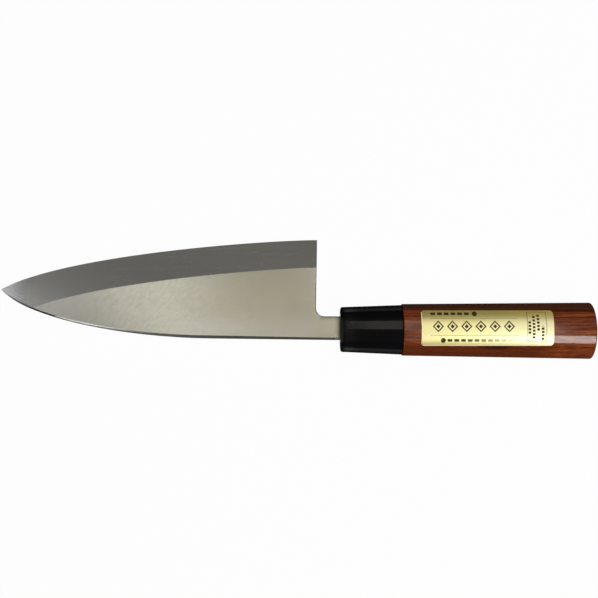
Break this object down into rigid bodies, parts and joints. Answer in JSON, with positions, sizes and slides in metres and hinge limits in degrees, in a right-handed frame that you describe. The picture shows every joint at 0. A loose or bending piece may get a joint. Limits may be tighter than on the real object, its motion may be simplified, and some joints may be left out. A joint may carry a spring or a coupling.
{
  "type": "deba knife",
  "caption": "Thick single-bevel kitchen knife for fish, with a laminated blade, a hidden tang, a black ferrule, an oval wooden handle and a plain foil label.",
  "frame": {"origin": "under the middle of the knife's box, at the level of the lowest point of the handle; the knife lies on its back side with the bevelled face up", "axes": "+X along the knife from the tip to the butt, +Y towards the cutting edge, +Z out of the bevelled face"},
  "size_m": [0.2781, 0.0562, 0.0203],
  "materials": {
    "edge_steel": "satin ground",
    "cladding_steel": "satin",
    "ferrule_plastic": "gloss moulded",
    "handle_wood": "lacquered",
    "resin": "cast, dull",
    "label_foil": "pale gold foil"
  },
  "bodies": {
    "root": {"edge_steel": "edge_steel", "blade_cladding": "cladding_steel", "ferrule": "ferrule_plastic", "handle_body": "handle_wood", "tang_resin": "resin", "mouth_seal": "resin", "label": "label_foil"}
  },
  "joints": []
}
